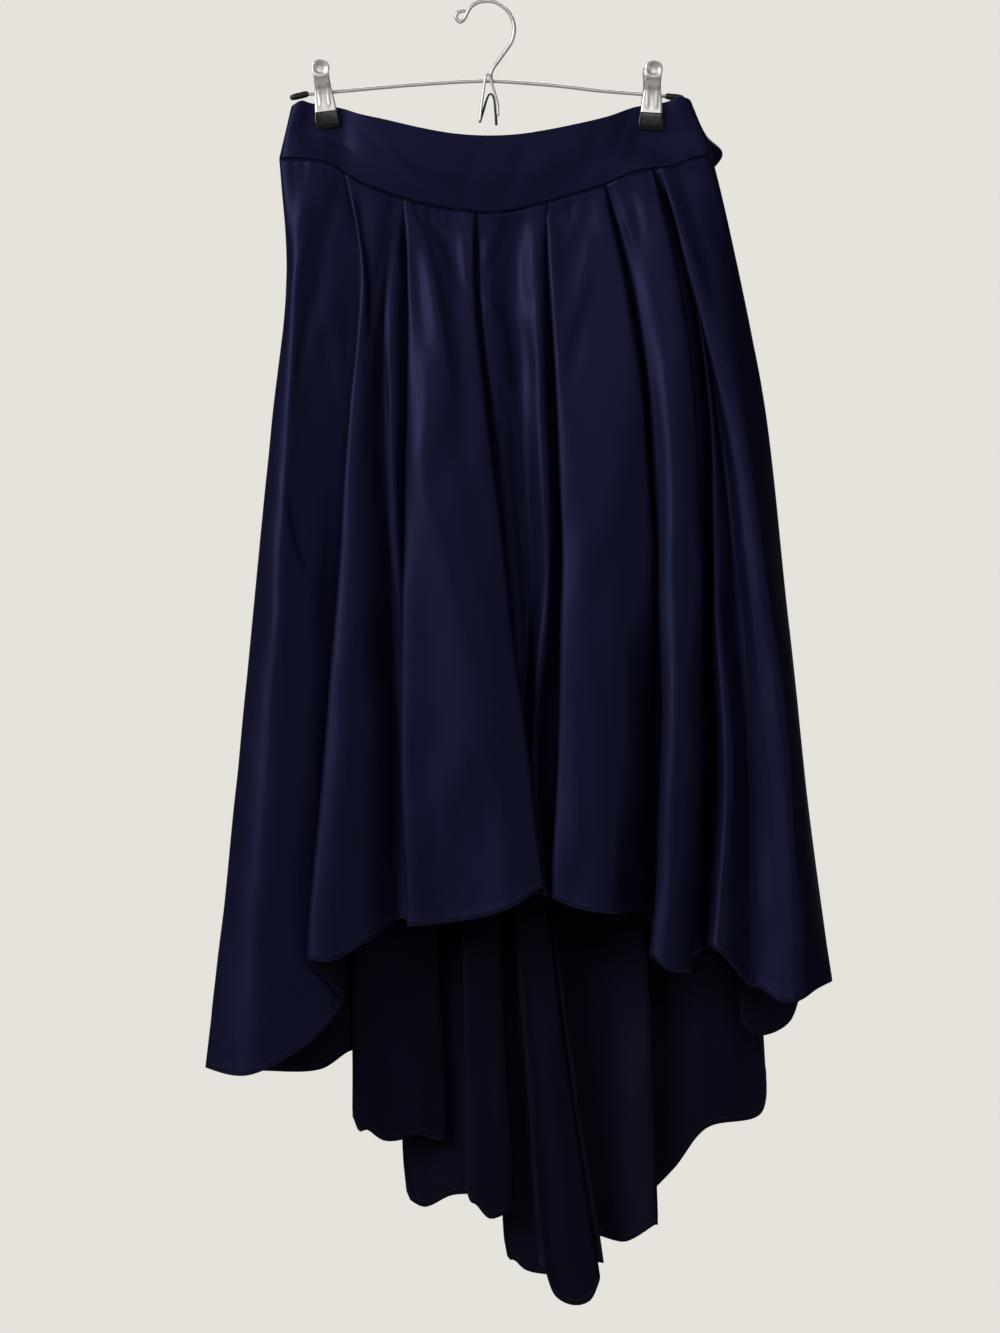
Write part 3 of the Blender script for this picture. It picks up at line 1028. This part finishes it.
for name, end, out, drop in (("left", BAR_PATH[0], -1, 3.0), ("right", BAR_PATH[-1], 1, 1.2)):
    start = (end[0] + out * 1.6, end[1])
    tip = (start[0] + out * 12.2, start[1] - drop)
    centre = ((start[0] + tip[0]) / 2, (start[1] + tip[1]) / 2)
    caps.append(hard_piece(
        f"{name}_rubber_cap", [tube((start, centre, tip), 3.0, 20, 0.0, 6, CAP_SWELL, 1)],
        RUBBER, [f"{name}_end_cap"]))

# %% [markdown]
# Each clip is two jaws pressed from 0.9 mm steel strip, with a spring between them. The
# round head is dished for the finger and has narrow turned edges, and two ribs stiffen the
# flat below it. A jaw is a height field: its depth is the side profile, less the dish, plus
# the ribs, as a function of the place across and down. Rubber shoes cover the tips.

# %% Clips
CLIPS = (("left", -150.5, -59.5, 7.0), ("right", 149.0, -60.5, -3.0))
HALF_WIDTH = (
    (8.0, 0.6), (7.6, 2.7), (6.1, 5.3), (2.7, 7.6), (-1.5, 7.9), (-5.4, 7.5), (-9.5, 7.2),
    (-15.0, 7.3), (-19.0, 7.7), (-24.0, 8.4), (-31.0, 9.1), (-38.5, 9.7),
)
SIDE_DEPTH = (
    (8.0, 12.0), (0.0, 12.0), (-5.4, 12.0), (-9.5, 11.0), (-15.0, 6.6), (-19.0, 4.9),
    (-24.0, 4.6), (-31.0, 4.8), (-38.5, 5.5),
)
STEEL = 0.9


def steady_table(table, z):
    """Value at height z from a table that runs downwards, by steady cubics."""
    rows = np.asarray(table, float)[::-1]
    return smooth_curve(rows[:, 0], rows[:, 1], z, steady=True)[:, 0]


def jaw(side, centre, tilt):
    """A jaw as two height fields: half width and depth by height, dish exp(-(r/5.4)^4),
    ribs exp(-((|x| - 4.1)/1.05)^2) between two heights, and edges that turn inwards."""
    z = np.concatenate([8 * np.cos(np.radians(np.linspace(4, 60, 12))), np.linspace(3.6, -38.5, 58)])
    s = np.sin(np.linspace(-1, 1, 29) * math.pi / 2)
    half = steady_table(HALF_WIDTH, z)
    x = s[None, :] * half[:, None]
    depth = np.broadcast_to(steady_table(SIDE_DEPTH, z)[:, None], x.shape).copy()
    radius = np.hypot(x, z[:, None] + 0.2)
    depth -= 1.6 * np.exp(-(radius / 5.4) ** 4)
    run = 1 / (1 + np.exp(-(z + 34.5) / 0.8)) * 1 / (1 + np.exp((z + 13.5) / 0.8))
    ribs = np.exp(-((np.abs(x) - 4.1) / 1.05) ** 2) * run[:, None]
    depth += 0.7 * ribs
    edge = np.clip((np.abs(s) - 0.80) / 0.20, 0, 1)[None, :]
    depth -= 0.8 * edge**2 * np.ones_like(x)
    outer_y, inner_y = side * (depth + STEEL), side * depth
    turn = math.radians(tilt)
    px = centre[0] + x * math.cos(turn) - z[:, None] * math.sin(turn)
    pz = centre[1] + x * math.sin(turn) + z[:, None] * math.cos(turn)
    points = np.concatenate([np.stack([px, outer_y, pz], axis=2), np.stack([px, inner_y, pz], axis=2)])
    rows, columns = x.shape
    corner = np.arange(rows * columns).reshape(rows, columns)
    quads = np.stack([corner[:-1, :-1], corner[:-1, 1:], corner[1:, 1:], corner[1:, :-1]], axis=2)
    faces = quads.reshape(-1, 4).tolist()
    shift = rows * columns
    faces += [[shift + k for k in face[::-1]] for face in quads.reshape(-1, 4).tolist()]
    rim = np.concatenate([corner[0], corner[1:, -1], corner[-1, -2::-1], corner[-2:0:-1, 0]])
    following = np.roll(rim, -1)
    faces += np.stack([rim, rim + shift, following + shift, following], axis=1).tolist()
    return points.reshape(-1, 3), faces


def shoe(side, centre, tilt):
    """A rubber shoe: a rounded box, its section a superellipse |x/a|^5 + |y/b|^5 = 1 that
    widens downwards, with a soft lower edge."""
    z = np.array([-38.2, -38.6, -39.6, -42.0, -46.0, -50.0, -52.6, -53.6, -54.0])
    a = np.array([9.0, 9.8, 10.2, 10.6, 10.9, 10.9, 10.6, 10.0, 8.8])
    b = np.array([1.0, 1.5, 1.75, 1.8, 1.8, 1.75, 1.5, 1.1, 0.5])
    middle_y = 3.0 + 1.7
    angle = np.linspace(0, 2 * math.pi, 49)[:-1]
    c, s = np.cos(angle), np.sin(angle)
    x = a[:, None] * np.sign(c) * np.abs(c) ** 0.4
    y = side * (middle_y + b[:, None] * np.sign(s) * np.abs(s) ** 0.4)
    zz = np.broadcast_to(z[:, None], x.shape)
    turn = math.radians(tilt)
    px = centre[0] + x * math.cos(turn) - zz * math.sin(turn)
    pz = centre[1] + x * math.sin(turn) + zz * math.cos(turn)
    points = np.stack([px, y, pz], axis=2)
    rows, columns = x.shape
    corner = np.arange(rows * columns).reshape(rows, columns)
    corner = np.hstack([corner, corner[:, :1]])
    quads = np.stack([corner[:-1, :-1], corner[:-1, 1:], corner[1:, 1:], corner[1:, :-1]], axis=2)
    faces = quads.reshape(-1, 4).tolist()
    faces += [list(range(columns))[::-1], list(range((rows - 1) * columns, rows * columns))]
    return points.reshape(-1, 3), faces


BACK_HEAD = (-1.8, -1.4, 2.2)       # the right back jaw sits crooked: x, z and lean
for name, x, z, tilt in CLIPS:
    for side, word in ((-1, "front"), (1, "back")):
        off = BACK_HEAD if (name, word) == ("right", "back") else (0, 0, 0)
        pressing = jaw(side, (x + off[0], z + off[1]), tilt + off[2])
        hard_piece(f"{name}_{word}_pressing", [pressing], CHROME,
                   [f"{name}_clip_{word}_jaw"], 60)
        hard_piece(f"{name}_{word}_shoe", [shoe(side, (x, z), tilt)], VINYL,
                   [f"{name}_clip_{word}_tip"], 50)

# %% [markdown]
# The spring barrel is a coil of wire on the bar: a helix whose centre line is the bar, with
# four turns that nearly touch. It holds the two jaws together.

# %% Springs
def coil(x, z, turns, pitch, radius, wire):
    """Helix along X: (x + pitch a / 2 pi, radius cos a, z + radius sin a)."""
    a = np.linspace(0, turns * 2 * math.pi, turns * 16 + 1)
    start = x - turns * pitch / 2
    path = np.column_stack([start + pitch * a / (2 * math.pi), radius * np.cos(a), z + radius * np.sin(a)])
    return tube(path, wire, sides=10, steps=1, round_end=1)


for name, x, z, tilt in CLIPS:
    bar_z = float(np.interp(x, [p[0] for p in BAR_PATH], [p[1] for p in BAR_PATH]))
    hard_piece(f"{name}_coil", [coil(x, bar_z, 7, 1.5, 2.95, 0.5)], CHROME,
               [f"{name}_clip_spring"])

# %% [markdown]
# Last, each sheet of cloth is declared with the size it was cut to, so that its area can be
# checked: a panel's flat width is measured along the pleats at the hem, its length down the
# cloth. The bands are folded double, and what shows is one face.

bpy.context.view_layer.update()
